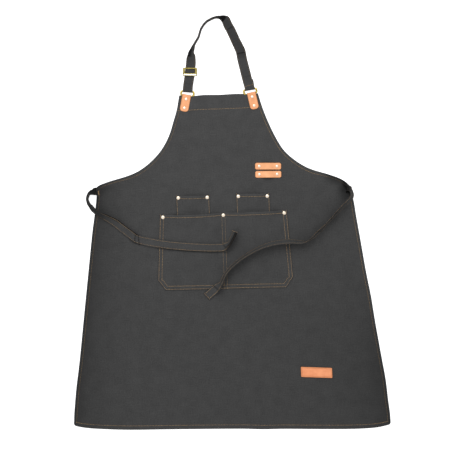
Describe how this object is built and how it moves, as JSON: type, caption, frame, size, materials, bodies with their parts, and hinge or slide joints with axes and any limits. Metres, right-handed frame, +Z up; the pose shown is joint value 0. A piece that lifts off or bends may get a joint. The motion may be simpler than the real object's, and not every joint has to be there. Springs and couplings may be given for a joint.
{
  "type": "bib apron",
  "caption": "Charcoal canvas bib apron laid flat, with patch pockets, leather tool loops and a bare leather patch; the neck strap and waist ties are folded over the front.",
  "frame": {"origin": "centre of the bounding box on the surface that the apron lies on", "axes": "+Z up off the surface, +Y from the bottom hem towards the neck strap, +X to the right as seen from above"},
  "size_m": [0.8256, 1.0761, 0.033],
  "materials": {
    "canvas": "matt woven cotton canvas",
    "leather": "smooth vegetable tanned leather",
    "brass": "polished wire",
    "rivet_metal": "polished pale metal caps"
  },
  "bodies": {
    "root": {"apron_panel": "canvas", "small_pocket_left": "canvas", "small_pocket_right": "canvas", "main_pocket": "canvas", "tool_loop_upper": "leather", "tool_loop_lower": "leather", "leather_patch": "leather", "ring_left": "brass", "ring_right": "brass", "strap_tab_left": "leather", "strap_tab_right": "leather", "strap_slider": "brass", "neck_strap": "canvas", "waist_tie_left": "canvas", "waist_tie_right": "canvas", "rivet_main_pocket_left": "rivet_metal", "rivet_main_pocket_middle": "rivet_metal", "rivet_main_pocket_right": "rivet_metal", "rivet_small_pocket_left_inner": "rivet_metal", "rivet_small_pocket_left_outer": "rivet_metal", "rivet_small_pocket_right_inner": "rivet_metal", "rivet_small_pocket_right_outer": "rivet_metal", "rivet_tool_loop_upper_left": "rivet_metal", "rivet_tool_loop_upper_right": "rivet_metal", "rivet_tool_loop_lower_left": "rivet_metal", "rivet_tool_loop_lower_right": "rivet_metal", "rivet_strap_tab_left_upper": "rivet_metal", "rivet_strap_tab_left_lower": "rivet_metal", "rivet_strap_tab_right_upper": "rivet_metal", "rivet_strap_tab_right_lower": "rivet_metal"}
  },
  "joints": []
}
